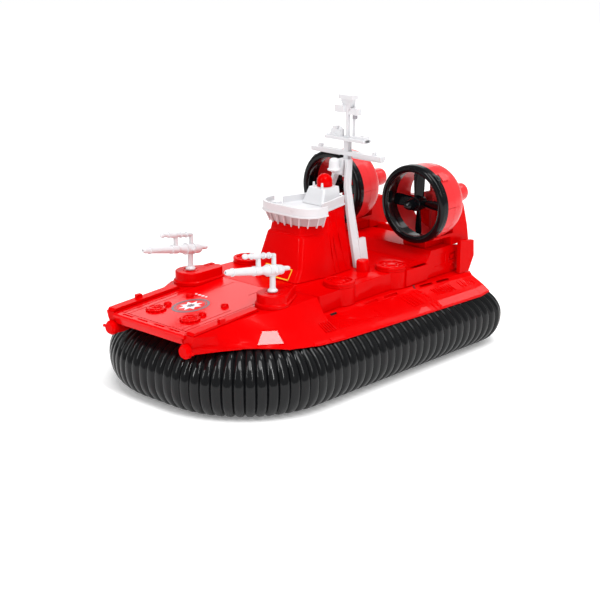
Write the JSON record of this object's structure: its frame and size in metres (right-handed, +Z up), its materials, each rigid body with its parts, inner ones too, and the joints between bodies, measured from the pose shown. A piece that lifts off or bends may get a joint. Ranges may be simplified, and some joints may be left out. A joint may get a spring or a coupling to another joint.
{
  "type": "toy hovercraft",
  "caption": "Toy fire-fighting hovercraft with a ribbed skirt, swivelling water cannons on the foredeck, a tower with bridge and mast, and spinning propellers in ducts.",
  "frame": {"origin": "centre of the bounding box's bottom face, on the floor under the skirt", "axes": "+X towards the bow, +Y towards port, +Z up"},
  "size_m": [0.3788, 0.2364, 0.248],
  "materials": {
    "red_shell": "glossy moulded red",
    "black_shell": "semi-gloss moulded black",
    "white_shell": "semi-gloss moulded white"
  },
  "bodies": {
    "craft": {"base_tray": "black_shell", "beacon": "red_shell", "bow_knuckle_port": "red_shell", "bow_knuckle_starboard": "red_shell", "bridge_deck": "white_shell", "cannon_mount_port": "red_shell", "cannon_mount_starboard": "red_shell", "duct_port": "red_shell", "duct_starboard": "red_shell", "engine_deck": "red_shell", "fan_ring_port": "black_shell", "fan_ring_starboard": "black_shell", "foredeck": "red_shell", "gunwale_port": "red_shell", "gunwale_starboard": "red_shell", "lantern": "white_shell", "lift_cover_aft_port": "red_shell", "lift_cover_aft_starboard": "red_shell", "lift_cover_fore_port": "red_shell", "lift_cover_fore_starboard": "red_shell", "lower_hull": "red_shell", "mast_leg_port": "white_shell", "mast_leg_starboard": "white_shell", "mast_platform": "white_shell", "mast_pole": "white_shell", "mast_yard": "white_shell", "mid_deck": "red_shell", "pylon_port": "red_shell", "pylon_starboard": "red_shell", "side_house_port": "red_shell", "side_house_starboard": "red_shell", "skirt": "black_shell", "stern_panel_port": "red_shell", "stern_panel_starboard": "red_shell", "tower": "red_shell", "upper_cabin": "white_shell", "window_visor": "white_shell"},
    "propeller_port": {"propeller_port": "black_shell"},
    "propeller_starboard": {"propeller_starboard": "black_shell"},
    "cannon_port": {"cannon_port": "white_shell"},
    "cannon_starboard": {"cannon_starboard": "white_shell"}
  },
  "joints": [
    {"name": "propeller_port_spin", "type": "hinge", "parent": "craft", "child": "propeller_port", "pos_m": [-0.119, 0.0532, 0.1426], "axis": [1, 0, 0], "continuous": true},
    {"name": "propeller_starboard_spin", "type": "hinge", "parent": "craft", "child": "propeller_starboard", "pos_m": [-0.119, -0.0532, 0.1426], "axis": [1, 0, 0], "continuous": true},
    {"name": "cannon_port_swivel", "type": "hinge", "parent": "craft", "child": "cannon_port", "pos_m": [0.085, 0.0534, 0.097], "axis": [0, 0, 1], "range_deg": [-55, 180]},
    {"name": "cannon_starboard_swivel", "type": "hinge", "parent": "craft", "child": "cannon_starboard", "pos_m": [0.085, -0.0534, 0.097], "axis": [0, 0, -1], "range_deg": [-55, 180]}
  ]
}
